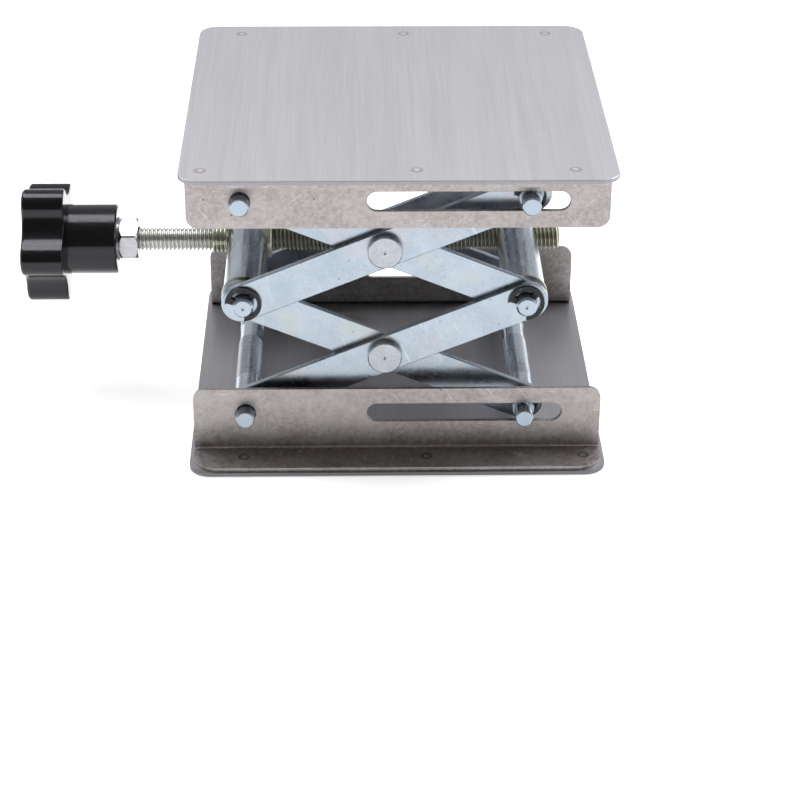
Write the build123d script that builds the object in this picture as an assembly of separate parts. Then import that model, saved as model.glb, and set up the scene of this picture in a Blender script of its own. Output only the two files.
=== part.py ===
from build123d import *
import math
import os

# Lab jack: two square plates held by a double scissor linkage that a lead screw opens and closes.
# Frame: X along the screw (knob at -X), Y towards the back, Z up. The origin is the centre of the
# base plate's underside. Millimetres.

# ---- driving dimensions ---------------------------------------------------------------------
plate_size = 100.0            # both plates are square
plate_thickness = 1.0
plate_corner_radius = 5.0
plate_corner_arcs = 6         # each round corner is drawn in this many short arcs
edge_break = 0.2              # softened edges of the sheet metal and bars
rim_break = 0.12              # deburred rims of the holes and slots in the rails

rail_length = 98.0
rail_thickness = 1.0
rail_outer_y = 39.5           # outer face of a rail's wall
flange_edge_y = 49.3          # free edge of a rail's flange
base_rail_height = 18.0       # from the base plate's underside to the wall's free edge
platform_rail_height = 16.6   # from the platform's top to the wall's free edge
wall_corner_radius = 2.8
flange_corner_radius = 6.0
bend_inner_radius = 0.5
base_pin_height = 11.5        # rail shafts above the base plate's underside
platform_pin_drop = 9.9       # rail shafts below the platform's top
rail_hole_diameter = 4.8      # round hole at the left, slot height at the right
slot_start_x = -4.85          # centres of the slot's round ends
slot_end_x = 37.25

left_pin_x = -36.5
arm_length = 72.6             # between the end holes of an arm
lift_angle = 22.6             # arms above the horizontal, as stored
arm_width = 9.3
arm_thickness = 1.6
arm_end_overhang = 0.6        # the round end's centre lies this far beyond the hole
inner_arm_y = 32.7            # inner face of the inner arms
arm_gap = 0.1                 # between the inner and outer arms

shaft_diameter = 6.0
shoulder_diameter = 5.4
rail_pin_diameter = 4.4
mid_pin_diameter = 5.0
running_clearance = 0.05      # on the radius, between a pin and an arm
rail_pin_end_y = 43.0
mid_pin_end_y = 38.9
shoulder_end_y = 38.2

trunnion_diameter = 10.0
washer_diameter = 10.8
washer_thickness = 0.9
rivet_head_diameter = 8.2
rivet_head_height = 1.9
rivet_tail_height = 1.1

clip_thickness = 0.7
clip_play = 0.05              # between a clip and the arm it holds
clip_seat_play = 0.02         # between a clip, or a washer, and what it sits on
clip_mouth_angle = 225.0      # the open side of an E-clip, from +X towards +Z
clip_prong_angle = 62.0       # each side prong, from the clip's closed side
clip_prong_share = 0.75       # prong width over seat radius
clip_mouth_share = 3.1        # mouth width over seat radius
rail_clip_diameter = 7.6
mid_clip_diameter = 8.7
mid_groove_depth = 0.5
mid_pin_bevel = 0.5
rail_pin_bevel = 0.3
punch_diameter = 0.9          # centre marks in the mid pins and the rivet heads
punch_depth = 0.2

screw_diameter = 6.0
screw_bore_diameter = 6.2
screw_bevel = 0.9
slide_gap = 0.1               # on the diameter, between the screw and what it carries
screw_left_x = -84.0
screw_right_x = 41.2
thrust_collar_diameter = 9.7
thrust_collar_left_x = -35.9
thrust_collar_right_x = -30.7
thrust_pocket_diameter = 10.0
stop_collar_diameter = 7.2
stop_collar_left_x = -45.4
stop_collar_grooves = 3
stop_collar_groove_pitch = 1.0
stop_collar_groove_depth = 0.3
stop_collar_groove_radius = 0.4
nut_across_flats = 10.0
nut_left_x = -68.4
nut_right_x = -63.9
nut_bevel = 0.6
nut_envelope_share = 1.13     # of the width across flats: the turned blank the corners are cut back to

knob_radius = 15.4            # to the tips of the lobes
knob_lobes = 5
lobe_radius = 4.2
knob_waist_radius = 11.2      # to the bottom of the hollows between the lobes
knob_outer_x = -91.8
knob_inner_x = -81.4
knob_outer_round = 1.0
knob_inner_round = 0.5
hub_diameter = 17.4
hub_end_x = -68.9
insert_diameter = 9.0
insert_flange_diameter = 10.8
insert_flange_thickness = 0.6
insert_proud = 0.3            # the insert's flange stands out of the hub by this much

weld_front_x = (-45.0, 4.0, 40.0)      # spot welds along the front rail of the platform
weld_back_x = (-39.0, 3.0, 40.0)
weld_base_x = (-37.0, 7.0, 45.0)
weld_row_y = 44.0
weld_depth = 0.15
weld_ball_radius = 4.0         # small enough to stay clear of the rail's wall
cutter_reach = 1.0             # how far a cutting tool runs past the face it cuts

# ---- worked out from them -------------------------------------------------------------------
theta = math.radians(lift_angle)
span = arm_length * math.cos(theta)
rise = arm_length * math.sin(theta)
right_pin_x = left_pin_x + span
mid_z = base_pin_height + rise
platform_pin_z = mid_z + rise
platform_top_z = platform_pin_z + platform_pin_drop
crossing_x = left_pin_x + span / 2
rail_inner_y = rail_outer_y - rail_thickness
outer_arm_y = inner_arm_y + arm_thickness + arm_gap
outer_face_y = outer_arm_y + arm_thickness
trunnion_end_y = inner_arm_y - arm_gap - washer_thickness


# ---- helpers --------------------------------------------------------------------------------
def rod_y(diameter, half_length):
    """A round bar along Y, centred on the XZ plane."""
    return Rot(90, 0, 0) * Cylinder(diameter / 2, 2 * half_length)


def rod_x(diameter, left_x, right_x):
    """A round bar along X on the X axis."""
    return Pos((left_x + right_x) / 2, 0, 0) * Rot(0, 90, 0) * Cylinder(diameter / 2, right_x - left_x)


def ring_y(outer_diameter, inner_diameter, near_y, far_y):
    """A flat ring around the Y axis between two distances from the XZ plane."""
    thickness = far_y - near_y
    ring = Cylinder(outer_diameter / 2, thickness) - Cylinder(inner_diameter / 2, 2 * thickness)
    return Pos(0, (near_y + far_y) / 2, 0) * Rot(90, 0, 0) * ring


def both_sides(piece):
    """The piece and its mirror image across the XZ plane, as a group of separate solids."""
    return Compound(children=[piece, mirror(piece, about=Plane.XZ)])


def bevel_ends(rod, axis, size):
    """Chamfer the round edges at both ends of a rod."""
    by_axis = rod.edges().filter_by(GeomType.CIRCLE).group_by(axis)
    return chamfer(by_axis[0] + by_axis[-1], size)


def punch_mark(face_y):
    """A cone that cuts a centre mark into a face square to Y, looking towards +Y."""
    cone = Cone(0, punch_diameter, 2 * punch_depth)
    return Pos(0, face_y, 0) * Rot(-90, 0, 0) * cone


# ---- plates and rails -----------------------------------------------------------------------
def plate_outline():
    """The square with round corners. Short arcs keep the corners round in a coarse mesh."""
    middle = plate_size / 2 - plate_corner_radius
    turn = math.pi / 2 / plate_corner_arcs
    edges = []
    for corner in range(4):
        first = corner * math.pi / 2
        diagonal = first + math.pi / 4
        centre_x = math.copysign(middle, math.cos(diagonal))
        centre_y = math.copysign(middle, math.sin(diagonal))

        def place(angle):
            return Vector(centre_x + plate_corner_radius * math.cos(angle),
                          centre_y + plate_corner_radius * math.sin(angle), 0)

        if edges:
            edges.append(Line(edges[-1] @ 1, place(first)))
        for arc in range(plate_corner_arcs):
            start = first + arc * turn
            edges.append(ThreePointArc(place(start), place(start + turn / 2), place(start + turn)))
    edges.append(Line(edges[-1] @ 1, edges[0] @ 0))
    return make_face(edges)


def plate():
    """A square sheet with round corners, its underside on Z = 0."""
    sheet = extrude(plate_outline(), plate_thickness)
    return chamfer(sheet.faces().sort_by(Axis.Z)[-1].edges(), edge_break)


def weld_marks(x_positions, y, z):
    """Balls that cut the shallow marks of the spot welds into a face at height z."""
    ball = Sphere(weld_ball_radius)
    lift = z + weld_ball_radius - weld_depth
    return [Pos(x, y, lift) * ball for x in x_positions]


def rail(height, pin_height, weld_x):
    """The front rail of a plate whose outer face is Z = 0: an upright wall and an outward flange."""
    top = plate_thickness + rail_thickness
    outline = make_face(Polyline(
        (-rail_inner_y, plate_thickness), (-rail_inner_y, height), (-rail_outer_y, height),
        (-rail_outer_y, top), (-flange_edge_y, top), (-flange_edge_y, plate_thickness), close=True))
    inside = outline.vertices().sort_by_distance((-rail_outer_y, top))[0]
    outline = fillet(inside, bend_inner_radius)
    outside = outline.vertices().sort_by_distance((-rail_inner_y, plate_thickness))[0]
    outline = fillet(outside, bend_inner_radius + rail_thickness)
    body = extrude(Plane.YZ * outline, rail_length / 2, both=True)
    wall_corners = body.edges().filter_by(Axis.Y).group_by(Axis.Z)[-1]
    body = fillet(wall_corners, wall_corner_radius)
    flange_corners = body.edges().filter_by(Axis.Z).group_by(Axis.Y)[0]
    body = fillet(flange_corners, flange_corner_radius)
    through = 4 * rail_thickness
    hole = Pos(left_pin_x, -rail_outer_y, pin_height) * rod_y(rail_hole_diameter, through)
    slot_length = slot_end_x - slot_start_x
    slot_shape = SlotCenterToCenter(slot_length, rail_hole_diameter)
    slot = Rot(90, 0, 0) * extrude(slot_shape, through, both=True)
    slot = Pos((slot_start_x + slot_end_x) / 2, -rail_outer_y, pin_height) * slot
    body = body - hole - slot
    rims = body.edges().filter_by_position(Axis.Y, -rail_outer_y, -rail_outer_y, inclusive=(True, True))
    rims = [rim for rim in rims if abs(rim.center().Z - pin_height) < rail_hole_diameter]
    rims = [rim for rim in rims if abs(rim.center().X) < rail_length / 2 - rail_hole_diameter]
    body = chamfer(rims, rim_break)
    return body - weld_marks(weld_x, -weld_row_y, top)


def base_parts():
    front = rail(base_rail_height, base_pin_height, weld_base_x)
    return {
        "base_plate": plate().rotate(Axis.X, 180).translate((0, 0, plate_thickness)),
        "base_rail_front": front,
        "base_rail_back": mirror(front, about=Plane.XZ),
    }


def platform_parts():
    front = rail(platform_rail_height, platform_pin_drop, weld_front_x)
    back = mirror(rail(platform_rail_height, platform_pin_drop, weld_back_x), about=Plane.XZ)
    place = Pos(0, 0, platform_top_z)
    top = Pos(0, 0, platform_top_z - plate_thickness) * plate()
    marks = weld_marks(weld_front_x, -weld_row_y, platform_top_z)
    marks += weld_marks(weld_back_x, weld_row_y, platform_top_z)
    return {
        "platform_plate": top - marks,
        "platform_rail_front": place * mirror(front, about=Plane.XY),
        "platform_rail_back": place * mirror(back, about=Plane.XY),
    }


# ---- scissor arms and rivets ----------------------------------------------------------------
def arm(rail_end):
    """A flat bar along X, centred on its crossing hole, its outer face on the XZ plane."""
    bar = extrude(SlotOverall(arm_length + 2 * arm_end_overhang + arm_width, arm_width), arm_thickness)
    bar = chamfer(bar.faces().filter_by(Axis.Z).edges(), edge_break)
    rail_hole = shoulder_diameter / 2 + running_clearance
    mid_hole = mid_pin_diameter / 2 + running_clearance
    bar -= Pos(rail_end * arm_length / 2, 0, 0) * Cylinder(rail_hole, 4 * arm_thickness)
    bar -= Pos(-rail_end * arm_length / 2, 0, 0) * Cylinder(mid_hole, 4 * arm_thickness)
    bar -= Cylinder(mid_hole, 4 * arm_thickness)
    return Rot(90, 0, 0) * bar


def arm_pair(rail_end, slope, centre_z, inner_face_y):
    """The front and back arm of one kind: slope is +1 where the right end is the high one."""
    bar = Rot(0, -slope * lift_angle, 0) * arm(rail_end)
    front = Pos(crossing_x, -inner_face_y, centre_z) * bar
    return front, mirror(front, about=Plane.XZ)


def rivets(centre_z):
    """Flat-headed rivets where the arms cross: proud head outside, clinched head inside."""
    tail_y = inner_arm_y - arm_gap - rivet_tail_height
    head_y = outer_face_y + clip_play
    shank = Pos(0, (tail_y + head_y) / 2, 0) * rod_y(mid_pin_diameter, (head_y - tail_y) / 2)
    head = Pos(0, head_y + rivet_head_height / 2, 0) * rod_y(rivet_head_diameter, rivet_head_height / 2)
    head = chamfer(head.edges().filter_by(GeomType.CIRCLE).group_by(Axis.Y)[-1], 1.5 * edge_break)
    tail = Pos(0, tail_y + rivet_tail_height / 2, 0) * rod_y(rivet_head_diameter, rivet_tail_height / 2)
    tail = chamfer(tail.edges().filter_by(GeomType.CIRCLE).group_by(Axis.Y)[0], 2 * edge_break)
    rivet = shank + head + tail - punch_mark(head_y + rivet_head_height)
    return Pos(crossing_x, 0, centre_z) * both_sides(rivet)


def arm_parts():
    parts = {}
    lower_z = base_pin_height + rise / 2
    upper_z = mid_z + rise / 2
    kinds = (("lower_outer_arm", -1, 1, lower_z, outer_arm_y),
             ("lower_inner_arm", 1, -1, lower_z, inner_arm_y),
             ("upper_outer_arm", 1, 1, upper_z, outer_arm_y),
             ("upper_inner_arm", -1, -1, upper_z, inner_arm_y))
    for name, rail_end, slope, centre_z, inner_face_y in kinds:
        parts[name + "_front"], parts[name + "_back"] = arm_pair(rail_end, slope, centre_z, inner_face_y)
    parts["lower_rivets"] = rivets(lower_z)
    parts["upper_rivets"] = rivets(upper_z)
    return parts


# ---- shafts, trunnions, clips ---------------------------------------------------------------
def e_clip(groove_diameter, outer_diameter, near_y):
    """An E-clip on a pin along Y: a ring open on one side, with three inward prongs."""
    outer = outer_diameter / 2
    seat = groove_diameter / 2 + clip_seat_play
    pocket = (outer + seat) / 2 + edge_break
    prong_width = clip_prong_share * seat
    shape = Circle(outer) - Circle(pocket)
    mouth = Rot(0, 0, clip_mouth_angle) * (Pos(outer, 0, 0) * Rectangle(2 * outer, clip_mouth_share * seat))
    shape -= mouth
    for turn in (180, clip_prong_angle, -clip_prong_angle):
        reach = Pos((outer + seat - edge_break) / 2, 0, 0) * Rectangle(outer - seat, prong_width)
        shape += Rot(0, 0, clip_mouth_angle + turn) * reach
    shape -= Circle(seat)
    clip = Rot(90, 0, 0) * extrude(shape, clip_thickness)
    return Pos(0, near_y + clip_thickness, 0) * clip


def clip_groove(outer_diameter, groove_diameter, near_y):
    """The ring that cuts a groove for a clip, a little wider than the clip on both sides."""
    far_y = near_y + clip_thickness + clip_seat_play
    return ring_y(outer_diameter, groove_diameter, near_y - clip_seat_play, far_y)


def cross_shaft(arm_inner_y):
    """A stepped shaft across the jack: body, shoulders for the arms, thin ends for the rails."""
    shaft = rod_y(shaft_diameter, arm_inner_y - arm_gap) + rod_y(shoulder_diameter, shoulder_end_y)
    shaft += bevel_ends(rod_y(rail_pin_diameter, rail_pin_end_y), Axis.Y, rail_pin_bevel)
    near = arm_inner_y + arm_thickness + clip_play
    groove = clip_groove(2 * shoulder_diameter, rail_pin_diameter, near)
    return shaft - groove - mirror(groove, about=Plane.XZ)


def shaft_clips(arm_inner_y):
    near = arm_inner_y + arm_thickness + clip_play
    return both_sides(e_clip(rail_pin_diameter, rail_clip_diameter, near))


def shaft_parts():
    places = (("base_left", left_pin_x, base_pin_height, outer_arm_y),
              ("base_slide", right_pin_x, base_pin_height, inner_arm_y),
              ("platform_left", left_pin_x, platform_pin_z, inner_arm_y),
              ("platform_slide", right_pin_x, platform_pin_z, outer_arm_y))
    parts = {}
    for name, x, z, arm_inner_y in places:
        parts[name + "_shaft"] = Pos(x, 0, z) * cross_shaft(arm_inner_y)
        parts[name + "_clips"] = Pos(x, 0, z) * shaft_clips(arm_inner_y)
    return parts


def trunnion():
    """The round cross bar at mid height, with a pin on each end and a bore for the screw."""
    bar = bevel_ends(rod_y(trunnion_diameter, trunnion_end_y), Axis.Y, 2 * edge_break)
    bar += bevel_ends(rod_y(mid_pin_diameter, mid_pin_end_y), Axis.Y, mid_pin_bevel)
    groove_diameter = mid_pin_diameter - 2 * mid_groove_depth
    cut = clip_groove(2 * mid_pin_diameter, groove_diameter, outer_face_y + clip_play)
    cut += punch_mark(mid_pin_end_y)
    bar = bar - cut - mirror(cut, about=Plane.XZ)
    return bar - rod_x(screw_bore_diameter, -trunnion_diameter, trunnion_diameter)


def trunnion_parts():
    parts = {}
    washer_near = trunnion_end_y + clip_seat_play
    washer_bore = mid_pin_diameter + 2 * running_clearance
    washer = ring_y(washer_diameter, washer_bore, washer_near, trunnion_end_y + washer_thickness)
    clip = e_clip(mid_pin_diameter - 2 * mid_groove_depth, mid_clip_diameter, outer_face_y + clip_play)
    for side, x in (("left", left_pin_x), ("right", right_pin_x)):
        bar = trunnion()
        if side == "left":
            pocket_x = thrust_collar_left_x - slide_gap - left_pin_x
            bar -= rod_x(thrust_pocket_diameter, pocket_x, trunnion_diameter)
        place = Pos(x, 0, mid_z)
        parts[side + "_trunnion"] = place * bar
        parts[side + "_mid_washers"] = place * both_sides(washer)
        parts[side + "_mid_clips"] = place * both_sides(clip)
    return parts


# ---- screw and knob -------------------------------------------------------------------------
def knob_outline():
    """The star's outline: round lobes joined by round hollows, all tangent. One lobe points to the front."""
    half_turn = math.pi / knob_lobes
    lobe_at = knob_radius - lobe_radius
    level = lobe_at * math.cos(half_turn)
    hollow_radius = (knob_waist_radius ** 2 + lobe_at ** 2 - 2 * level * knob_waist_radius - lobe_radius ** 2)
    hollow_radius /= 2 * (lobe_radius + level - knob_waist_radius)
    hollow_at = knob_waist_radius + hollow_radius

    def polar(radius, turn):
        return Vector(radius * math.cos(turn), radius * math.sin(turn), 0)

    arcs = []
    for lobe in range(knob_lobes):
        middle = math.pi + 2 * half_turn * lobe
        before = polar(hollow_at, middle - half_turn)
        after = polar(hollow_at, middle + half_turn)
        next_lobe = polar(lobe_at, middle + 2 * half_turn)
        centre = polar(lobe_at, middle)
        start = centre + (before - centre).normalized() * lobe_radius
        end = centre + (after - centre).normalized() * lobe_radius
        following = next_lobe + (after - next_lobe).normalized() * lobe_radius
        arcs.append(ThreePointArc(start, polar(knob_radius, middle), end))
        arcs.append(ThreePointArc(end, polar(knob_waist_radius, middle + half_turn), following))
    return make_face(arcs)


def knob():
    """A star knob: a head with round lobes, and a hub towards the jack that holds the insert."""
    head = extrude(Plane.YZ.offset(knob_outer_x) * knob_outline(), knob_inner_x - knob_outer_x)
    head = fillet(head.faces().sort_by(Axis.X)[0].edges(), knob_outer_round)
    head = fillet(head.faces().sort_by(Axis.X)[-1].edges(), knob_inner_round)
    hub = rod_x(hub_diameter, knob_inner_x - cutter_reach, hub_end_x)
    hub = chamfer(hub.edges().filter_by(GeomType.CIRCLE).group_by(Axis.X)[-1], 2 * edge_break)
    pocket = rod_x(insert_diameter + slide_gap, screw_left_x - cutter_reach, hub_end_x + cutter_reach)
    seat_x = hub_end_x - insert_flange_thickness
    flange_seat = rod_x(insert_flange_diameter + slide_gap, seat_x, hub_end_x + cutter_reach)
    return head + hub - pocket - flange_seat


def knob_insert():
    flange_x = hub_end_x - insert_flange_thickness + running_clearance
    body = rod_x(insert_diameter, screw_left_x, hub_end_x)
    body += rod_x(insert_flange_diameter, flange_x, hub_end_x + insert_proud)
    return body - rod_x(screw_diameter + slide_gap, screw_left_x - cutter_reach, hub_end_x + cutter_reach)


def jam_nut():
    """A hexagon nut with its corners turned back at both faces, tight on the screw."""
    length = nut_right_x - nut_left_x
    blank = extrude(RegularPolygon(nut_across_flats / 2, 6, major_radius=False), length)
    envelope = Pos(0, 0, length / 2) * Cylinder(nut_envelope_share * nut_across_flats / 2, length)
    blank = blank & chamfer(envelope.edges().filter_by(GeomType.CIRCLE), nut_bevel)
    blank -= Cylinder(screw_diameter / 2 + running_clearance, 4 * length)
    return Pos(nut_left_x, 0, 0) * Rot(0, 90, 0) * blank


def stop_collar(right_x):
    """A short collar with round grooves turned in it, up against the left trunnion."""
    collar = bevel_ends(rod_x(stop_collar_diameter, stop_collar_left_x, right_x), Axis.X, edge_break)
    middle_x = (stop_collar_left_x + right_x) / 2
    groove_at = stop_collar_diameter / 2 - stop_collar_groove_depth + stop_collar_groove_radius
    for groove in range(stop_collar_grooves):
        x = middle_x + (groove - (stop_collar_grooves - 1) / 2) * stop_collar_groove_pitch
        collar -= Pos(x, 0, 0) * Rot(0, 90, 0) * Torus(groove_at, stop_collar_groove_radius)
    return collar


def screw_parts():
    place = Pos(0, 0, mid_z)
    rod = bevel_ends(rod_x(screw_diameter, screw_left_x + slide_gap, screw_right_x), Axis.X, screw_bevel)
    bore = rod_x(screw_diameter + slide_gap, 2 * stop_collar_left_x, 0)
    trunnion_left_x = left_pin_x - trunnion_diameter / 2
    thrust = rod_x(thrust_collar_diameter, thrust_collar_left_x, thrust_collar_right_x)
    return {
        "lead_screw": place * rod,
        "stop_collar": place * (stop_collar(trunnion_left_x - slide_gap) - bore),
        "thrust_collar": place * (bevel_ends(thrust, Axis.X, edge_break) - bore),
        "jam_nut": place * jam_nut(),
        "knob": place * knob(),
        "knob_insert": place * knob_insert(),
    }


# ---- write one file for each sub-part --------------------------------------------------------
os.makedirs("parts", exist_ok=True)
all_parts = {}
for group in (base_parts(), platform_parts(), arm_parts(), shaft_parts(), trunnion_parts(), screw_parts()):
    all_parts.update(group)
for node_name, shape in all_parts.items():
    export_step(shape, "parts/" + node_name + ".step")
print(len(all_parts), "sub-parts, platform top at", round(platform_top_z, 2))
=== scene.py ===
"""Lab jack: finishes, rolled thread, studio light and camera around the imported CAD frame. Metres."""
import math

import bmesh
import bpy
from mathutils import Matrix, Vector


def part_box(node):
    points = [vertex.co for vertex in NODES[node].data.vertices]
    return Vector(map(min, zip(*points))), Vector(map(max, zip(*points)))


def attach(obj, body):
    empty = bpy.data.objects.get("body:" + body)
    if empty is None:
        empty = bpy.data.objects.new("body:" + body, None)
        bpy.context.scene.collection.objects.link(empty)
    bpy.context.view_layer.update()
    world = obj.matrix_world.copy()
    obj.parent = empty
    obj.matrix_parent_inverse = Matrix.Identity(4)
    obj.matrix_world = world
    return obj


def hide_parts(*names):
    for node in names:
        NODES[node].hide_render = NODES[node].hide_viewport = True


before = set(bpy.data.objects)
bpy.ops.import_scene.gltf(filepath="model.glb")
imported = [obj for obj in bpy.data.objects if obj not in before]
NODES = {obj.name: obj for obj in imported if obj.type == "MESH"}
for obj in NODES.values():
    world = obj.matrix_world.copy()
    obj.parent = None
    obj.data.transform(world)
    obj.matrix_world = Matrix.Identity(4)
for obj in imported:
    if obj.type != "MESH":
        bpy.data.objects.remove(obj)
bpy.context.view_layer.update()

MM = 0.001

# ---- camera -----------------------------------------------------------------------------------
CAMERA_PLACE = Vector((-11.38, -512.21, 282.94)) * MM
CAMERA_YAW = math.radians(1.445)       # from +Y towards +X
CAMERA_PITCH = math.radians(27.767)    # below the horizontal
CAMERA_ROLL = math.radians(0.384)
CAMERA_LENS = 101.66                   # millimetres, on a 36 mm sensor
CAMERA_SHIFT_Y = -0.0875

# ---- thread -----------------------------------------------------------------------------------
THREAD_PITCH = 1.0 * MM
THREAD_DEPTH = 0.61 * MM
THREAD_STEPS = 40                      # around one turn
THREAD_CREST = 0.18                    # shares of the pitch
THREAD_ROOT = 0.22
THREAD_END_CHAMFER = 0.7 * MM
THREAD_RUN_OUT = 1.5                   # turns swept past the left end, then cut off
CUT_TOLERANCE = 1e-7                   # for finding the rim that a square cut leaves
THREAD_ROOT_TINT_RADIUS = 2.45 * MM    # dark inside this radius
THREAD_CREST_TINT_RADIUS = 2.95 * MM   # bright outside this one
OLIVE_START_X = -49.0 * MM             # the thread turns olive between these, towards the trunnion
OLIVE_FULL_X = -42.0 * MM

# ---- spot weld marks, shared with the CAD model -----------------------------------------------
WELD_ROW_Y = 44.0 * MM
WELD_FRONT_X = (-45.0 * MM, 4.0 * MM, 40.0 * MM)
WELD_BACK_X = (-39.0 * MM, 3.0 * MM, 40.0 * MM)
WELD_BASE_X = (-37.0 * MM, 7.0 * MM, 45.0 * MM)
WELD_BASE_Z = 2.0 * MM                 # top of the base rails' flanges
WELD_RING_RADIUS = 1.04 * MM           # middle of the ring of heat tint and painted shade round a weld
WELD_RING_SPREAD = 0.72 * MM           # from there to where the tint has faded

# ---- cross shafts, measured from their middle -------------------------------------------------
RIB_PITCH = 1.0 * MM
RIB_DEPTH = 0.20 * MM
RIB_START = 4.0 * MM
RIB_COUNT = 20
RIB_CORNERS = ((0.0, 0.0), (0.2, 1.0), (0.7, 1.0), (0.9, 0.0))     # shares of pitch and of depth
SHAFT_STEPS = 48                       # around the shaft
SHAFT_SHOULDER_RADIUS = 2.7 * MM
SHAFT_SHOULDER_END = 38.2 * MM
SHAFT_PIN_RADIUS = 2.2 * MM
SHAFT_BEVEL = 0.25 * MM
ARM_THICKNESS = 1.6 * MM
CLIP_THICKNESS = 0.7 * MM
CLIP_PLAY = 0.05 * MM
ARM_GAP = 0.1 * MM
CUT_END_START = 34.0 * MM              # pins are duller beyond this distance from the middle
CUT_END_FULL = 36.0 * MM
SMOOTH_ANGLE = math.radians(30)        # steeper edges stay sharp

# ---- sheet metal ------------------------------------------------------------------------------
EDGE_SOFTENING = 0.12 * MM             # rounded edges of the rails
EDGE_SEGMENTS = 2
EDGE_ANGLE = math.radians(50)
PLATE_STRAIGHT = 45.0 * MM             # half the straight part of a plate's edge
PLATE_CORNER = 5.0 * MM                # radius of a plate's round corners
PAINTED_EDGE_SHADE_START = 0.12 * MM         # painted shade on the plate's edge fades in between these,
PAINTED_EDGE_SHADE_FULL = 0.06 * MM          # measured inwards from the edge
BASE_PAINTED_SHADE = 0.66                      # painted shade: the base plate's finish is darkened against the platform's

# ---- light ------------------------------------------------------------------------------------
LIGHT_AIM = (0.0, 0.0, 0.05)
SOFTBOX_X = 0.5                        # two of them overhead, left and right
SOFTBOX_Y = 0.30
SOFTBOX_Z = 1.1
SOFTBOX_SIZE = (0.55, 1.15)
SOFTBOX_POWER = 11.5
SIDE_BOX_PLACE = (1.3, 0.1, 0.55)
SIDE_BOX_SIZE = (0.9, 0.9)
SIDE_BOX_POWER = 5.0
FRONT_ROOM = (0.180, 0.165, 0.158, 1.0)
BACK_ROOM = (0.60, 0.60, 0.62, 1.0)
ROOM_FADE = (-0.75, 0.25)              # share of +Y in a direction, from front colour to back
FLOOR_HALF = 3.0
FLOOR_GLOW = 0.42


# ---- node tree helper -------------------------------------------------------------------------
MIX_AMOUNT = 0                         # sockets of a Mix node set to colours
MIX_FIRST = 6
MIX_SECOND = 7
MIX_RESULT = 2


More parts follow.
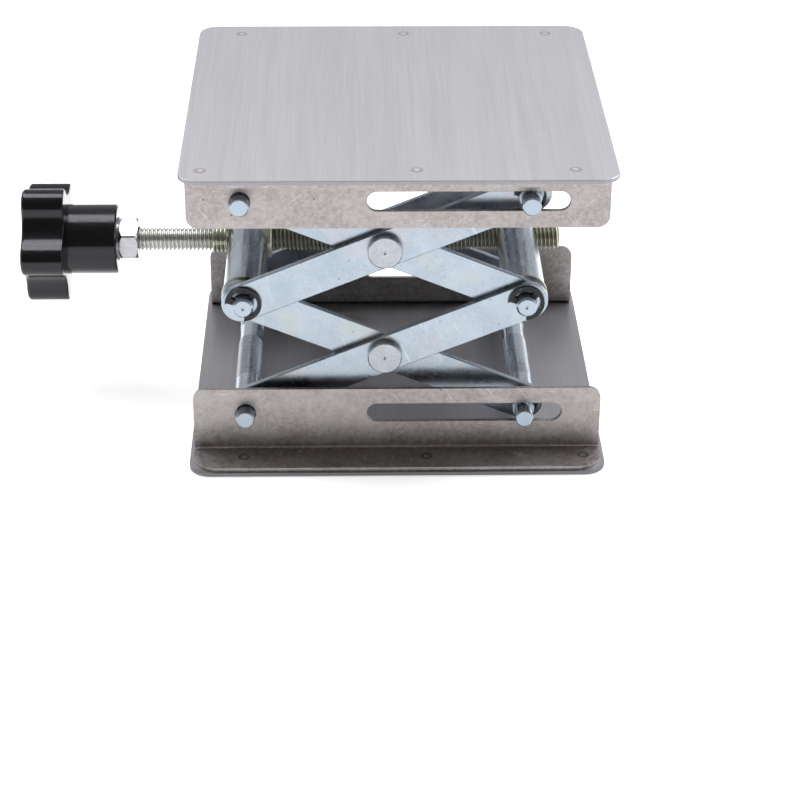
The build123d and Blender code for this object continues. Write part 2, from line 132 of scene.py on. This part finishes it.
class Shader:
    """A material under construction. Every texture is placed by the piece's own coordinates."""

    def __init__(self, name):
        self.material = bpy.data.materials.new(name)
        self.material.use_nodes = True
        self.tree = self.material.node_tree
        self.tree.nodes.clear()
        output = self.add("ShaderNodeOutputMaterial")
        self.bsdf = self.add("ShaderNodeBsdfPrincipled")
        self.link(self.bsdf.outputs["BSDF"], output.inputs["Surface"])
        self.place = self.add("ShaderNodeTexCoord").outputs["Object"]
        self.last_bump = None

    def add(self, kind, **settings):
        node = self.tree.nodes.new(kind)
        for key, value in settings.items():
            setattr(node, key, value)
        return node

    def link(self, source, target):
        self.tree.links.new(source, target)

    def put(self, target, value):
        """Set a socket to a number or colour, or link it to another socket."""
        if isinstance(value, bpy.types.NodeSocket):
            self.link(value, target)
        elif isinstance(value, tuple) and len(value) == 3 and target.type == "RGBA":
            target.default_value = value + (1.0,)
        else:
            target.default_value = value

    def set(self, **inputs):
        for key, value in inputs.items():
            self.put(self.bsdf.inputs[key.replace("_", " ")], value)

    def stretched(self, scale):
        mapping = self.add("ShaderNodeMapping")
        self.link(self.place, mapping.inputs["Vector"])
        mapping.inputs["Scale"].default_value = scale
        return mapping.outputs["Vector"]

    def noise(self, scale, detail=4.0, roughness=0.55, stretch=(1, 1, 1), distortion=0.0):
        """Cloudy noise, about 0.5 on average. The scale is in features a metre."""
        node = self.add("ShaderNodeTexNoise")
        self.link(self.stretched(stretch), node.inputs["Vector"])
        node.inputs["Scale"].default_value = scale
        node.inputs["Detail"].default_value = detail
        node.inputs["Roughness"].default_value = roughness
        node.inputs["Distortion"].default_value = distortion
        return node.outputs["Fac"]

    def cells(self, scale):
        """Distance to the nearest of many scattered points."""
        node = self.add("ShaderNodeTexVoronoi")
        self.link(self.place, node.inputs["Vector"])
        node.inputs["Scale"].default_value = scale
        return node.outputs["Distance"]

    def window(self, value, low, high, out_low=0.0, out_high=1.0):
        """Map low..high to out_low..out_high, smoothly, and hold the ends."""
        node = self.add("ShaderNodeMapRange", interpolation_type="SMOOTHSTEP")
        self.put(node.inputs["Value"], value)
        node.inputs["From Min"].default_value = low
        node.inputs["From Max"].default_value = high
        node.inputs["To Min"].default_value = out_low
        node.inputs["To Max"].default_value = out_high
        return node.outputs["Result"]

    def math(self, operation, first, second=0.0):
        node = self.add("ShaderNodeMath", operation=operation)
        self.put(node.inputs[0], first)
        self.put(node.inputs[1], second)
        return node.outputs["Value"]

    def mix(self, amount, first, second):
        """Mix two colours by an amount from 0 to 1."""
        node = self.add("ShaderNodeMix", data_type="RGBA")
        self.put(node.inputs[MIX_AMOUNT], amount)
        self.put(node.inputs[MIX_FIRST], first)
        self.put(node.inputs[MIX_SECOND], second)
        return node.outputs[MIX_RESULT]

    def bump(self, height, depth, strength=1.0):
        """Relief of the given depth in metres, on top of any bump before it."""
        node = self.add("ShaderNodeBump")
        node.inputs["Strength"].default_value = strength
        node.inputs["Distance"].default_value = depth
        self.link(height, node.inputs["Height"])
        if self.last_bump is not None:
            self.link(self.last_bump, node.inputs["Normal"])
        self.last_bump = node.outputs["Normal"]
        self.link(self.last_bump, self.bsdf.inputs["Normal"])

    def axes(self):
        node = self.add("ShaderNodeSeparateXYZ")
        self.link(self.place, node.inputs["Vector"])
        return node.outputs["X"], node.outputs["Y"], node.outputs["Z"]

    def distance_to(self, point):
        node = self.add("ShaderNodeVectorMath", operation="DISTANCE")
        self.link(self.place, node.inputs[0])
        node.inputs[1].default_value = point
        return node.outputs["Value"]

    def weld_tints_and_shade(self, colour, places, tint, strength):
        """A soft ring of the given colour round each spot weld: heat tint with painted shade on the platform,
        painted shade alone on the base flanges.
        """
        for place in places:
            ring = self.math("SUBTRACT", self.distance_to(place), WELD_RING_RADIUS)
            halo = self.window(self.math("ABSOLUTE", ring), 0.0, WELD_RING_SPREAD, strength, 0.0)
            colour = self.mix(halo, colour, tint)
        return colour

    def beyond(self, distance, limit):
        """How far a coordinate lies outside a limit on either side, or zero inside it."""
        return self.math("MAXIMUM", self.math("SUBTRACT", self.math("ABSOLUTE", distance), limit), 0.0)

    def hypotenuse(self, first, second):
        squares = self.math("ADD", self.math("MULTIPLY", first, first), self.math("MULTIPLY", second, second))
        return self.math("SQRT", squares)

    def scratches(self, scale, degrees, length, low, high):
        """Sparse fine lines: stretched noise, turned about Y, cut to its peaks."""
        turn = self.add("ShaderNodeMapping")
        self.link(self.place, turn.inputs["Vector"])
        turn.inputs["Rotation"].default_value = (0.0, math.radians(degrees), 0.0)
        squeeze = self.add("ShaderNodeMapping")
        self.link(turn.outputs["Vector"], squeeze.inputs["Vector"])
        squeeze.inputs["Scale"].default_value = (length, 1.0, 1.0)
        node = self.add("ShaderNodeTexNoise")
        self.link(squeeze.outputs["Vector"], node.inputs["Vector"])
        node.inputs["Scale"].default_value = scale
        node.inputs["Detail"].default_value = 2.0
        return self.window(node.outputs["Fac"], low, high)


# ---- materials --------------------------------------------------------------------------------
def stainless_plate(name="stainless_plate", shade=1.0):
    """Fine sheet brushed front to back, with rings of heat tint and painted shade round the spot welds, and
    painted shade along the edge.
    """
    s = Shader(name)
    lines = s.noise(2600.0, detail=3.0, stretch=(1.0, 0.012, 1.0))
    broad = s.noise(420.0, detail=2.0, stretch=(1.0, 0.03, 1.0))
    clouds = s.noise(28.0, detail=3.0)

    # painted shade: a shade below 1 darkens every tone of this finish
    def tone(level):
        return (level * shade, (level - 0.009) * shade, (level + 0.016) * shade)

    colour = s.mix(s.window(lines, 0.3, 0.7), tone(0.580), tone(0.630))
    colour = s.mix(s.window(broad, 0.35, 0.7, 0.0, 0.1), colour, tone(0.650))
    colour = s.mix(s.window(clouds, 0.35, 0.7, 0.0, 0.2), colour, tone(0.565))
    top_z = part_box("platform_plate")[1].z
    places = [(x, -WELD_ROW_Y, top_z) for x in WELD_FRONT_X]
    places += [(x, WELD_ROW_Y, top_z) for x in WELD_BACK_X]
    # painted shade: the brown rings are partly heat tint, partly the shade in the weld dimples
    colour = s.weld_tints_and_shade(colour, places, (0.30, 0.23, 0.21), 0.6)
    x, y, _ = s.axes()
    # painted shade: the plate turns dark at its edge, standing in for the shadowed floor that its edge
    # reflects
    outward = s.hypotenuse(s.beyond(x, PLATE_STRAIGHT), s.beyond(y, PLATE_STRAIGHT))
    start = PLATE_CORNER - PAINTED_EDGE_SHADE_START
    painted_edge_shade = s.window(outward, start, PLATE_CORNER - PAINTED_EDGE_SHADE_FULL, 0.0, 0.85)
    colour = s.mix(painted_edge_shade, colour, tone(0.22))
    s.set(Base_Color=colour, Metallic=1.0, Roughness=s.window(broad, 0.3, 0.7, 0.40, 0.42))
    s.bump(lines, 0.002 * MM, 0.5)
    return s.material


def stainless_rail():
    """Mill-finish sheet with a mottled skin, handling scratches and small pits."""
    s = Shader("stainless_rail")
    mottle = s.noise(900.0, detail=6.0, roughness=0.75)
    patches = s.noise(110.0, detail=4.0, roughness=0.6, stretch=(1.0, 1.0, 1.6))
    grain = s.noise(3600.0, detail=3.0, roughness=0.7)
    colour = s.mix(s.window(mottle, 0.32, 0.68), (0.255, 0.228, 0.220), (0.425, 0.400, 0.392))
    colour = s.mix(s.window(patches, 0.40, 0.68, 0.0, 0.45), colour, (0.460, 0.440, 0.436))
    colour = s.mix(s.window(grain, 0.50, 0.72, 0.0, 0.55), colour, (0.120, 0.104, 0.098))
    colour = s.mix(s.window(grain, 0.28, 0.44, 0.40, 0.0), colour, (0.680, 0.660, 0.652))
    long_scratch = s.scratches(60.0, 38, 40.0, 0.71, 0.77)
    short_scratch = s.scratches(150.0, -52, 14.0, 0.68, 0.74)
    flat_scratch = s.scratches(130.0, 88, 16.0, 0.69, 0.75)
    marks = s.math("MAXIMUM", s.math("MAXIMUM", long_scratch, short_scratch), flat_scratch)
    colour = s.mix(s.math("MULTIPLY", marks, 0.4), colour, (0.76, 0.74, 0.72))
    pits = s.window(s.cells(210.0), 0.04, 0.07, 1.0, 0.0)
    colour = s.mix(s.math("MULTIPLY", pits, 0.8), colour, (0.07, 0.06, 0.055))
    # painted shade: near-black rings on the base flanges stand in for the shade in the weld dimples
    places = [(x, side * WELD_ROW_Y, WELD_BASE_Z) for x in WELD_BASE_X for side in (-1, 1)]
    colour = s.weld_tints_and_shade(colour, places, (0.05, 0.04, 0.038), 0.7)
    s.set(Base_Color=colour, Metallic=1.0, Roughness=s.window(mottle, 0.3, 0.7, 0.38, 0.52))
    s.bump(mottle, 0.02 * MM, 0.45)
    s.bump(marks, 0.01 * MM, 0.5)
    s.bump(s.math("SUBTRACT", 1.0, pits), 0.05 * MM, 0.6)
    return s.material


def zinc_arm():
    """Blue-bright zinc on flat bar: cloudy passivation tints, rub marks and fine nicks."""
    s = Shader("zinc_plated_arm")
    clouds = s.noise(120.0, detail=5.0, roughness=0.65)
    tint = s.noise(70.0, detail=3.0, distortion=0.6)
    grain = s.noise(1700.0, detail=4.0, roughness=0.7)
    colour = s.mix(s.window(clouds, 0.3, 0.7), (0.285, 0.335, 0.385), (0.370, 0.425, 0.480))
    colour = s.mix(s.window(tint, 0.53, 0.70, 0.0, 0.35), colour, (0.420, 0.375, 0.400))
    colour = s.mix(s.window(tint, 0.30, 0.45, 0.35, 0.0), colour, (0.405, 0.405, 0.330))
    colour = s.mix(s.window(grain, 0.52, 0.72, 0.0, 0.35), colour, (0.190, 0.205, 0.220))
    rub = s.scratches(120.0, 24, 18.0, 0.67, 0.74)
    groove = s.scratches(170.0, -35, 16.0, 0.70, 0.75)
    nick = s.window(s.cells(300.0), 0.05, 0.09, 1.0, 0.0)
    colour = s.mix(s.math("MULTIPLY", rub, 0.45), colour, (0.60, 0.61, 0.61))
    colour = s.mix(s.math("MULTIPLY", groove, 0.5), colour, (0.17, 0.17, 0.16))
    colour = s.mix(s.math("MULTIPLY", nick, 0.6), colour, (0.12, 0.12, 0.11))
    s.set(Base_Color=colour, Metallic=1.0, Roughness=s.window(clouds, 0.3, 0.7, 0.24, 0.36))
    s.bump(grain, 0.015 * MM, 0.35)
    s.bump(s.math("SUBTRACT", 1.0, nick), 0.04 * MM, 0.5)
    return s.material


def zinc_rivet():
    """Dull zinc on a pressed head: fine grain and soft stains."""
    s = Shader("zinc_plated_rivet")
    grain = s.noise(1900.0, detail=4.0, roughness=0.75)
    stains = s.noise(320.0, detail=4.0)
    colour = s.mix(s.window(grain, 0.3, 0.7), (0.285, 0.310, 0.345), (0.410, 0.440, 0.480))
    colour = s.mix(s.window(stains, 0.52, 0.72, 0.0, 0.4), colour, (0.420, 0.390, 0.370))
    s.set(Base_Color=colour, Metallic=1.0, Roughness=s.window(stains, 0.3, 0.7, 0.30, 0.42))
    s.bump(grain, 0.025 * MM, 0.45)
    return s.material


def zinc_bar(name="zinc_plated_bar", tone=(0.50, 0.56, 0.63), shade=(0.38, 0.42, 0.47), rough=0.22):
    """Turned bar along Y: fine rings round it, streaks, specks and duller cut ends."""
    s = Shader(name)
    rings = s.noise(2400.0, detail=2.0, stretch=(0.05, 1.0, 0.05))
    streaks = s.noise(260.0, detail=4.0, stretch=(1.0, 0.25, 1.0))
    speck = s.noise(2600.0, detail=3.0, roughness=0.7)
    colour = s.mix(s.window(streaks, 0.3, 0.7), shade, tone)
    colour = s.mix(s.window(rings, 0.5, 0.75, 0.0, 0.3), colour, (0.64, 0.66, 0.68))
    colour = s.mix(s.window(speck, 0.52, 0.72, 0.0, 0.3), colour, (0.22, 0.23, 0.24))
    _, y, _ = s.axes()
    cut_end = s.window(s.math("ABSOLUTE", y), CUT_END_START, CUT_END_FULL, 0.0, 0.8)
    colour = s.mix(cut_end, colour, (0.295, 0.345, 0.405))
    s.set(Base_Color=colour, Metallic=1.0, Roughness=s.window(streaks, 0.3, 0.7, rough, rough + 0.12))
    s.bump(rings, 0.008 * MM, 0.5)
    return s.material


def yellow_thread():
    """Rolled thread with olive zinc: lighter on the crests, darker in the roots."""
    s = Shader("yellow_zinc_thread")
    x, y, z = s.axes()
    low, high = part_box("lead_screw")
    up = s.math("SUBTRACT", z, (low.z + high.z) / 2)
    crest = s.window(s.hypotenuse(y, up), THREAD_ROOT_TINT_RADIUS, THREAD_CREST_TINT_RADIUS)
    patches = s.noise(230.0, detail=4.0, roughness=0.65)
    inner = s.window(x, OLIVE_START_X, OLIVE_FULL_X)
    colour = s.mix(crest, (0.520, 0.520, 0.500), (0.760, 0.760, 0.740))
    olive = s.mix(crest, (0.150, 0.150, 0.090), (0.430, 0.430, 0.300))
    colour = s.mix(s.window(patches, 0.48, 0.66, 0.0, 0.35), colour, olive)
    colour = s.mix(s.math("MULTIPLY", inner, 0.8), colour, olive)
    grain = s.noise(2600.0, detail=3.0)
    s.set(Base_Color=colour, Metallic=1.0, Roughness=s.window(patches, 0.3, 0.7, 0.34, 0.46))
    s.bump(grain, 0.012 * MM, 0.4)
    return s.material


def bright_zinc():
    """Bright zinc on the hexagon nut and the knob's insert: drawing lines and faint clouds."""
    s = Shader("bright_zinc")
    lines = s.noise(1600.0, detail=3.0, stretch=(0.04, 1.0, 1.0))
    clouds = s.noise(240.0, detail=3.0)
    colour = s.mix(s.window(clouds, 0.3, 0.7), (0.330, 0.327, 0.350), (0.410, 0.407, 0.430))
    s.set(Base_Color=colour, Metallic=1.0, Roughness=s.window(lines, 0.3, 0.7, 0.20, 0.32))
    s.bump(lines, 0.01 * MM, 0.4)
    return s.material


def black_clip():
    """Blackened spring steel: satin, with a little wear on the high spots."""
    s = Shader("black_spring_steel")
    grain = s.noise(2200.0, detail=4.0, roughness=0.7)
    wear = s.noise(420.0, detail=4.0)
    colour = s.mix(s.window(wear, 0.56, 0.76), (0.020, 0.020, 0.022), (0.130, 0.125, 0.120))
    s.set(Base_Color=colour, Metallic=0.6, Roughness=s.window(grain, 0.3, 0.7, 0.30, 0.48))
    s.bump(grain, 0.015 * MM, 0.4)
    return s.material


def black_phenolic():
    """Polished black moulding: faint orange peel, hairline rubs and a trace of dust."""
    s = Shader("black_phenolic")
    peel = s.noise(520.0, detail=2.0)
    dust = s.noise(1900.0, detail=3.0)
    hairs = s.scratches(160.0, 70, 20.0, 0.70, 0.78)
    colour = s.mix(s.window(dust, 0.62, 0.80, 0.0, 0.4), (0.003, 0.003, 0.0035), (0.020, 0.019, 0.021))
    colour = s.mix(s.math("MULTIPLY", hairs, 0.4), colour, (0.06, 0.06, 0.06))
    s.set(Base_Color=colour, Roughness=s.window(peel, 0.3, 0.7, 0.12, 0.20))
    s.bsdf.inputs["Specular IOR Level"].default_value = 0.40
    s.bsdf.inputs["Specular Tint"].default_value = (0.94, 0.91, 1.0, 1.0)
    s.bump(peel, 0.02 * MM, 0.25)
    return s.material


def floor_finish():
    """Matt white sweep with the faintest tooth."""
    s = Shader("studio_floor")
    tooth = s.noise(900.0, detail=2.0)
    colour = s.mix(tooth, (0.93, 0.93, 0.93), (0.95, 0.95, 0.95))
    s.set(Base_Color=colour, Roughness=0.9)
    s.bsdf.inputs["Emission Color"].default_value = (1.0, 1.0, 1.0, 1.0)
    s.bsdf.inputs["Emission Strength"].default_value = FLOOR_GLOW
    return s.material


MATERIALS = {
    "stainless_plate": stainless_plate,
    "stainless_rail": stainless_rail,
    "black_spring_steel": black_clip,
    "zinc_plated_arm": zinc_arm,
    "zinc_plated_rivet": zinc_rivet,
    "zinc_washer": lambda: zinc_bar("zinc_washer", (0.46, 0.47, 0.36), (0.27, 0.28, 0.20), 0.26),
    "zinc_plated_bar": zinc_bar,
    "yellow_zinc_thread": yellow_thread,
    "bright_zinc": bright_zinc,
    "black_phenolic": black_phenolic,
}


def slot_of(node):
    return NODES[node].material_slots[0].material.name.split(".")[0]


def finish_nodes():
    """Give every CAD node the detailed material of its slot, except for two that look different: the base
    plate gets a darker copy of the plate finish as painted shade.
    """
    made = {}
    for name, node in NODES.items():
        slot_name = slot_of(name)
        if slot_name not in made:
            made[slot_name] = MATERIALS[slot_name]()
        for holder in node.material_slots:
            holder.material = made[slot_name]
    # painted shade: the base plate gets a darker copy of the plate finish
    NODES["base_plate"].material_slots[0].material = stainless_plate("stainless_base_painted_shade", BASE_PAINTED_SHADE)
    NODES["stop_collar"].material_slots[0].material = made["zinc_washer"]
    return made


def soften_edges():
    """Round the cut edges of the rails, so that they catch the light."""
    for name, node in NODES.items():
        if name.endswith(("rail_front", "rail_back")):
            bevel = node.modifiers.new("soft_edges", "BEVEL")
            bevel.width = EDGE_SOFTENING
            bevel.segments = EDGE_SEGMENTS
            bevel.limit_method = "ANGLE"
            bevel.angle_limit = EDGE_ANGLE
            bevel.harden_normals = True


# ---- lead screw -------------------------------------------------------------------------------
def thread_profile():
    """Axial place and depth share of one pitch of the thread: root, flank, crest, flank."""
    crest_start = THREAD_ROOT + (1.0 - THREAD_CREST - THREAD_ROOT) / 2
    return ((0.0, 0.0), (THREAD_ROOT, 0.0), (crest_start, 1.0), (crest_start + THREAD_CREST, 1.0))


def swept_thread(left_x, right_x, radius, centre_z):
    """A right-hand thread along X, a little longer than it has to be and open at both ends."""
    profile = thread_profile()
    turns = math.ceil((right_x - left_x) / THREAD_PITCH + 2 * THREAD_RUN_OUT)
    start_x = left_x - THREAD_RUN_OUT * THREAD_PITCH
    mesh = bmesh.new()
    rows = []
    for step in range(turns * THREAD_STEPS + 1):
        angle = 2 * math.pi * step / THREAD_STEPS
        x = start_x + THREAD_PITCH * step / THREAD_STEPS
        row = []
        for along, height in profile:
            r = radius - THREAD_DEPTH * (1.0 - height)
            place = (x + along * THREAD_PITCH, r * math.cos(angle), centre_z + r * math.sin(angle))
            row.append(mesh.verts.new(place))
        rows.append(row)
    for step in range(len(rows) - 1):
        now, then = rows[step], rows[step + 1]
        for j in range(len(profile) - 1):
            mesh.faces.new((now[j], now[j + 1], then[j + 1], then[j]))
        if step + 1 + THREAD_STEPS < len(rows):
            far_now, far_then = rows[step + THREAD_STEPS], rows[step + 1 + THREAD_STEPS]
            mesh.faces.new((now[-1], far_now[0], far_then[0], then[-1]))
    return mesh


def thread_mesh(left_x, right_x, radius, centre_z):
    """The swept thread, cut square, capped and chamfered at both ends."""
    mesh = swept_thread(left_x, right_x, radius, centre_z)
    for x, outward in ((left_x, -1.0), (right_x, 1.0)):
        everything = mesh.verts[:] + mesh.edges[:] + mesh.faces[:]
        bmesh.ops.bisect_plane(mesh, geom=everything, plane_co=(x, 0, centre_z),
                               plane_no=(outward, 0, 0), clear_outer=True)
        boundary = [edge for edge in mesh.edges if edge.is_boundary]
        rim = [edge for edge in boundary if all(abs(v.co.x - x) < CUT_TOLERANCE for v in edge.verts)]
        bmesh.ops.contextual_create(mesh, geom=rim)
    for vert in mesh.verts:
        end = min(vert.co.x - left_x, right_x - vert.co.x)
        limit = radius - THREAD_END_CHAMFER + max(end, 0.0)
        r = math.hypot(vert.co.y, vert.co.z - centre_z)
        if r > limit:
            vert.co.y *= limit / r
            vert.co.z = centre_z + (vert.co.z - centre_z) * limit / r
    bmesh.ops.recalc_face_normals(mesh, faces=mesh.faces)
    return mesh


def finished_piece(name, data, material):
    """Put a mesh in the scene as an object with one material."""
    data.materials.append(material)
    piece = bpy.data.objects.new(name, data)
    bpy.context.scene.collection.objects.link(piece)
    return piece


def lead_screw(material):
    low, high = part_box("lead_screw")
    shape = thread_mesh(low.x, high.x, (high.z - low.z) / 2, (low.z + high.z) / 2)
    data = bpy.data.meshes.new("lead_screw_thread")
    shape.to_mesh(data)
    shape.free()
    piece = finished_piece("lead_screw_thread", data, material)
    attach(piece, "screw")
    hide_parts("lead_screw")


# ---- cross shafts -----------------------------------------------------------------------------
def shaft_profile(tip, body_radius, collar_end):
    """Half of a shaft's outline from its middle to one tip, as (distance along, radius) points."""
    root = body_radius - RIB_DEPTH
    points = [(0.0, root)]
    for rib in range(RIB_COUNT):
        start = RIB_START + rib * RIB_PITCH
        for along, height in RIB_CORNERS:
            points.append((start + along * RIB_PITCH, root + height * RIB_DEPTH))
    ribs_end = RIB_START + RIB_COUNT * RIB_PITCH
    points += [(ribs_end, root), (ribs_end + SHAFT_BEVEL, body_radius)]
    points += [(collar_end, body_radius), (collar_end, SHAFT_SHOULDER_RADIUS)]
    groove_start = collar_end + ARM_GAP + ARM_THICKNESS + CLIP_PLAY
    groove_end = groove_start + CLIP_THICKNESS
    points += [(groove_start, SHAFT_SHOULDER_RADIUS), (groove_start, SHAFT_PIN_RADIUS)]
    if groove_end < SHAFT_SHOULDER_END - CLIP_PLAY:
        points += [(groove_end, SHAFT_PIN_RADIUS), (groove_end, SHAFT_SHOULDER_RADIUS)]
        points += [(SHAFT_SHOULDER_END - SHAFT_BEVEL, SHAFT_SHOULDER_RADIUS)]
        points += [(SHAFT_SHOULDER_END, SHAFT_SHOULDER_RADIUS - SHAFT_BEVEL)]
        points += [(SHAFT_SHOULDER_END, SHAFT_PIN_RADIUS)]
    points += [(tip - SHAFT_BEVEL, SHAFT_PIN_RADIUS), (tip, SHAFT_PIN_RADIUS - SHAFT_BEVEL), (tip, 0.0)]
    return points


def turned(name, profile, centre):
    """A mesh turned about an axis along Y through the centre."""
    mesh = bmesh.new()
    rings = []
    for along, radius in profile:
        if radius == 0.0:
            rings.append([mesh.verts.new((centre.x, centre.y + along, centre.z))])
            continue
        ring = []
        for step in range(SHAFT_STEPS):
            angle = 2 * math.pi * step / SHAFT_STEPS
            place = (centre.x + radius * math.cos(angle), centre.y + along,
                     centre.z + radius * math.sin(angle))
            ring.append(mesh.verts.new(place))
        rings.append(ring)
    for first, second in zip(rings, rings[1:]):
        for step in range(SHAFT_STEPS):
            after = (step + 1) % SHAFT_STEPS
            if len(first) == 1:
                mesh.faces.new((first[0], second[step], second[after]))
            elif len(second) == 1:
                mesh.faces.new((first[step], first[after], second[0]))
            else:
                mesh.faces.new((first[step], first[after], second[after], second[step]))
    bmesh.ops.recalc_face_normals(mesh, faces=mesh.faces)
    data = bpy.data.meshes.new(name)
    mesh.to_mesh(data)
    mesh.free()
    data.shade_smooth()
    data.set_sharp_from_angle(angle=SMOOTH_ANGLE)
    return data


def cross_shafts(material):
    """The four stepped shafts, with the ribbed stretches that show on each side of the middle."""
    bodies = {"base_left": "base", "base_slide": "lower_inner",
              "platform_left": "platform", "platform_slide": "upper_outer"}
    for prefix, body in bodies.items():
        low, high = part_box(prefix + "_shaft")
        clips_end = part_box(prefix + "_clips")[1].y
        collar_end = clips_end - CLIP_THICKNESS - CLIP_PLAY - ARM_THICKNESS - ARM_GAP
        half = shaft_profile(high.y, (high.z - low.z) / 2, collar_end)
        whole = [(-along, radius) for along, radius in reversed(half)] + half[1:]
        data = turned(prefix + "_turned_shaft", whole, (low + high) / 2)
        piece = finished_piece(prefix + "_turned_shaft", data, material)
        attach(piece, body)
        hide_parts(prefix + "_shaft")


# ---- stage, light and camera ------------------------------------------------------------------
def floor():
    data = bpy.data.meshes.new("studio_floor")
    corners = [(x * FLOOR_HALF, y * FLOOR_HALF, 0) for x, y in ((-1, -1), (1, -1), (1, 1), (-1, 1))]
    data.from_pydata(corners, [], [(0, 1, 2, 3)])
    finished_piece("studio_floor", data, floor_finish())


def panel_light(name, place, size, power):
    """A rectangular softbox that faces the jack."""
    data = bpy.data.lights.new(name, "AREA")
    data.shape = "RECTANGLE"
    data.size, data.size_y = size
    data.energy = power
    lamp = bpy.data.objects.new(name, data)
    lamp.location = place
    lamp.rotation_euler = (Vector(LIGHT_AIM) - Vector(place)).to_track_quat("-Z", "Y").to_euler()
    bpy.context.scene.collection.objects.link(lamp)


def studio_world():
    """A pale room: bright behind and beside the jack, dark in front above the table."""
    world = bpy.data.worlds.new("studio")
    bpy.context.scene.world = world
    world.use_nodes = True
    tree = world.node_tree
    tree.nodes.clear()
    output = tree.nodes.new("ShaderNodeOutputWorld")
    shade = tree.nodes.new("ShaderNodeBackground")
    tree.links.new(shade.outputs["Background"], output.inputs["Surface"])
    place = tree.nodes.new("ShaderNodeTexCoord")
    split = tree.nodes.new("ShaderNodeSeparateXYZ")
    tree.links.new(place.outputs["Generated"], split.inputs["Vector"])
    ramp = tree.nodes.new("ShaderNodeMapRange")
    ramp.interpolation_type = "SMOOTHSTEP"
    tree.links.new(split.outputs["Y"], ramp.inputs["Value"])
    ramp.inputs["From Min"].default_value, ramp.inputs["From Max"].default_value = ROOM_FADE
    mix = tree.nodes.new("ShaderNodeMix")
    mix.data_type = "RGBA"
    tree.links.new(ramp.outputs["Result"], mix.inputs[MIX_AMOUNT])
    mix.inputs[MIX_FIRST].default_value = FRONT_ROOM
    mix.inputs[MIX_SECOND].default_value = BACK_ROOM
    tree.links.new(mix.outputs[MIX_RESULT], shade.inputs["Color"])


def lights():
    for name, side in (("left_softbox", -1), ("right_softbox", 1)):
        panel_light(name, (side * SOFTBOX_X, SOFTBOX_Y, SOFTBOX_Z), SOFTBOX_SIZE, SOFTBOX_POWER)
    panel_light("side_softbox", SIDE_BOX_PLACE, SIDE_BOX_SIZE, SIDE_BOX_POWER)


def camera():
    data = bpy.data.cameras.new("camera")
    data.sensor_width = 36.0
    data.lens = CAMERA_LENS
    data.shift_y = CAMERA_SHIFT_Y
    data.clip_start = 0.01
    data.clip_end = 20.0
    forward = Vector((math.sin(CAMERA_YAW) * math.cos(CAMERA_PITCH),
                      math.cos(CAMERA_YAW) * math.cos(CAMERA_PITCH), -math.sin(CAMERA_PITCH)))
    level = Vector((math.cos(CAMERA_YAW), -math.sin(CAMERA_YAW), 0.0))
    upright = level.cross(forward)
    right = math.cos(CAMERA_ROLL) * level + math.sin(CAMERA_ROLL) * upright
    up = math.cos(CAMERA_ROLL) * upright - math.sin(CAMERA_ROLL) * level
    eye = bpy.data.objects.new("camera", data)
    turn = Matrix((right, up, -forward)).transposed().to_4x4()
    eye.matrix_world = Matrix.Translation(CAMERA_PLACE) @ turn
    bpy.context.scene.collection.objects.link(eye)
    bpy.context.scene.camera = eye


# ---- build ------------------------------------------------------------------------------------
camera()
floor()
lights()
studio_world()
bpy.context.scene.view_settings.view_transform = "Standard"
finishes = finish_nodes()
soften_edges()
lead_screw(finishes["yellow_zinc_thread"])
cross_shafts(finishes["zinc_plated_bar"])
